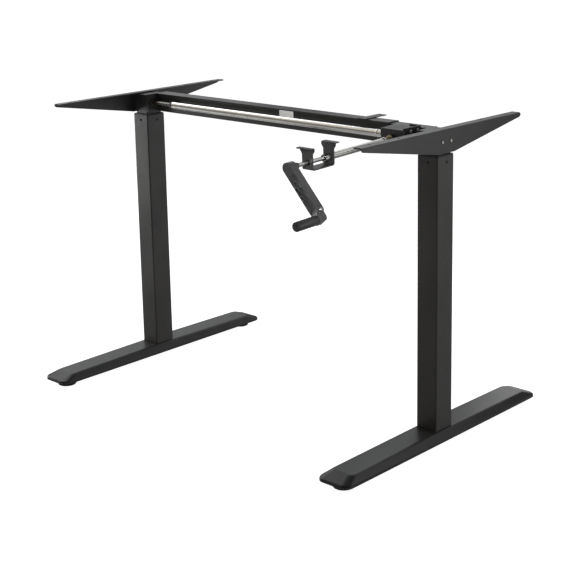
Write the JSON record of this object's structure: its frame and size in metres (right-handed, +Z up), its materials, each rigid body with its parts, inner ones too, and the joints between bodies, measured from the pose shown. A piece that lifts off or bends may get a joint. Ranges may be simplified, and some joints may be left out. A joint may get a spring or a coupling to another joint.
{
  "type": "height adjustable standing desk frame",
  "caption": "Two-leg standing desk frame: T legs with telescopic columns, side brackets, telescopic crossbeam and a front hand crank that raises both legs through one shaft.",
  "frame": {"origin": "on the floor, midway between the two legs, on the line between the middles of the two columns", "axes": "+X from the left leg to the right leg, +Y to the back, +Z up; the crank is on the -Y side"},
  "size_m": [0.998, 0.7773, 0.702],
  "materials": {
    "powder_coat": "fine textured charcoal powder coat, semi-gloss",
    "black_plastic": "moulded, satin",
    "polished_steel": "bright plated",
    "zinc_steel": "zinc plated",
    "brass": "machined"
  },
  "bodies": {
    "left_base": {"left_foot": "powder_coat", "left_outer_column": "powder_coat", "left_upper_guide": "black_plastic", "left_nut_tube": "zinc_steel"},
    "left_upper": {"left_inner_column": "powder_coat", "left_lower_guide": "black_plastic", "left_gear_housing": "powder_coat", "left_side_bracket": "powder_coat", "left_bracket_bolt_front": "zinc_steel", "left_bracket_bolt_rear": "zinc_steel", "left_screw_bearing": "zinc_steel", "left_shaft_bush": "brass", "outer_beam": "powder_coat", "beam_tab": "powder_coat"},
    "right_upper": {"right_inner_column": "powder_coat", "right_lower_guide": "black_plastic", "right_gear_housing": "powder_coat", "right_side_bracket": "powder_coat", "right_bracket_bolt_front": "zinc_steel", "right_bracket_bolt_rear": "zinc_steel", "right_screw_bearing": "zinc_steel", "right_shaft_bush": "brass", "inner_beam": "powder_coat", "gearbox_case": "black_plastic", "gearbox_cover": "black_plastic", "gearbox_bush": "brass", "gearbox_bracket": "powder_coat", "gearbox_screw_front": "polished_steel", "gearbox_screw_rear": "polished_steel", "crank_support": "powder_coat", "rear_bush": "black_plastic", "front_bush": "black_plastic"},
    "right_base": {"right_foot": "powder_coat", "right_outer_column": "powder_coat", "right_upper_guide": "black_plastic", "right_nut_tube": "zinc_steel"},
    "left_screw": {"left_lead_screw": "zinc_steel", "left_screw_gear": "zinc_steel"},
    "right_screw": {"right_lead_screw": "zinc_steel", "right_screw_gear": "zinc_steel"},
    "drive_rod_set": {"drive_rod": "zinc_steel", "left_drive_gear": "zinc_steel"},
    "drive_tube_set": {"drive_tube": "polished_steel", "tube_bush": "black_plastic", "stub_shaft": "zinc_steel", "right_drive_gear": "zinc_steel", "gearbox_gear": "zinc_steel"},
    "crank": {"gearbox_pinion": "zinc_steel", "crank_tube": "polished_steel", "crank_collar": "polished_steel", "crank_rod": "polished_steel", "crank_arm": "black_plastic", "grip_pin": "polished_steel"},
    "grip_hinge": {"grip_knuckle": "black_plastic"},
    "grip": {"grip_sleeve": "black_plastic"},
    "left_front_leveller": {"left_leveller_front": "black_plastic"},
    "left_rear_leveller": {"left_leveller_rear": "black_plastic"},
    "right_front_leveller": {"right_leveller_front": "black_plastic"},
    "right_rear_leveller": {"right_leveller_rear": "black_plastic"}
  },
  "joints": [
    {"name": "lift_left", "type": "slide", "parent": "left_base", "child": "left_upper", "axis": [0, 0, 1], "range_m": [0, 0.45]},
    {"name": "width", "type": "slide", "parent": "left_upper", "child": "right_upper", "axis": [1, 0, 0], "range_m": [0, 0.4]},
    {"name": "lift_right", "type": "slide", "parent": "right_upper", "child": "right_base", "axis": [0, 0, -1], "range_m": [0, 0.45]},
    {"name": "left_screw_turn", "type": "hinge", "parent": "left_upper", "child": "left_screw", "pos_m": [-0.457, -0.009, 0.6765], "axis": [0, 0, 1], "range_deg": [0, 20250]},
    {"name": "right_screw_turn", "type": "hinge", "parent": "right_upper", "child": "right_screw", "pos_m": [0.457, -0.009, 0.6765], "axis": [0, 0, -1], "range_deg": [0, 20250]},
    {"name": "drive_rod_turn", "type": "hinge", "parent": "left_upper", "child": "drive_rod_set", "pos_m": [-0.457, -0.009, 0.6765], "axis": [1, 0, 0], "range_deg": [0, 20250]},
    {"name": "drive_tube_turn", "type": "hinge", "parent": "right_upper", "child": "drive_tube_set", "pos_m": [0.457, -0.009, 0.6765], "axis": [1, 0, 0], "range_deg": [0, 20250]},
    {"name": "crank_turn", "type": "hinge", "parent": "right_upper", "child": "crank", "pos_m": [0.374, -0.009, 0.6765], "axis": [0, 0.9994, 0.0349], "range_deg": [0, 20250]},
    {"name": "grip_fold", "type": "hinge", "parent": "crank", "child": "grip_hinge", "pos_m": [0.44259, -0.35819, 0.58423], "axis": [-0.7593, 0.0227, -0.6504], "range_deg": [0, 90]},
    {"name": "grip_spin", "type": "hinge", "parent": "grip_hinge", "child": "grip", "pos_m": [0.45235, -0.37209, 0.57235], "axis": [0, -0.9994, -0.0349], "continuous": true},
    {"name": "left_front_level", "type": "slide", "parent": "left_base", "child": "left_front_leveller", "axis": [0, 0, -1], "range_m": [0, 0.01]},
    {"name": "left_rear_level", "type": "slide", "parent": "left_base", "child": "left_rear_leveller", "axis": [0, 0, -1], "range_m": [0, 0.01]},
    {"name": "right_front_level", "type": "slide", "parent": "right_base", "child": "right_front_leveller", "axis": [0, 0, -1], "range_m": [0, 0.01]},
    {"name": "right_rear_level", "type": "slide", "parent": "right_base", "child": "right_rear_leveller", "axis": [0, 0, -1], "range_m": [0, 0.01]}
  ],
  "couplings": [
    {"joint": "lift_right", "follows": "lift_left", "ratio": 1},
    {"joint": "left_screw_turn", "follows": "lift_left", "rad_per_m": 785.4},
    {"joint": "right_screw_turn", "follows": "lift_left", "rad_per_m": 785.4},
    {"joint": "drive_rod_turn", "follows": "lift_left", "rad_per_m": 785.4},
    {"joint": "drive_tube_turn", "follows": "lift_left", "rad_per_m": 785.4},
    {"joint": "crank_turn", "follows": "lift_left", "rad_per_m": 785.4}
  ]
}
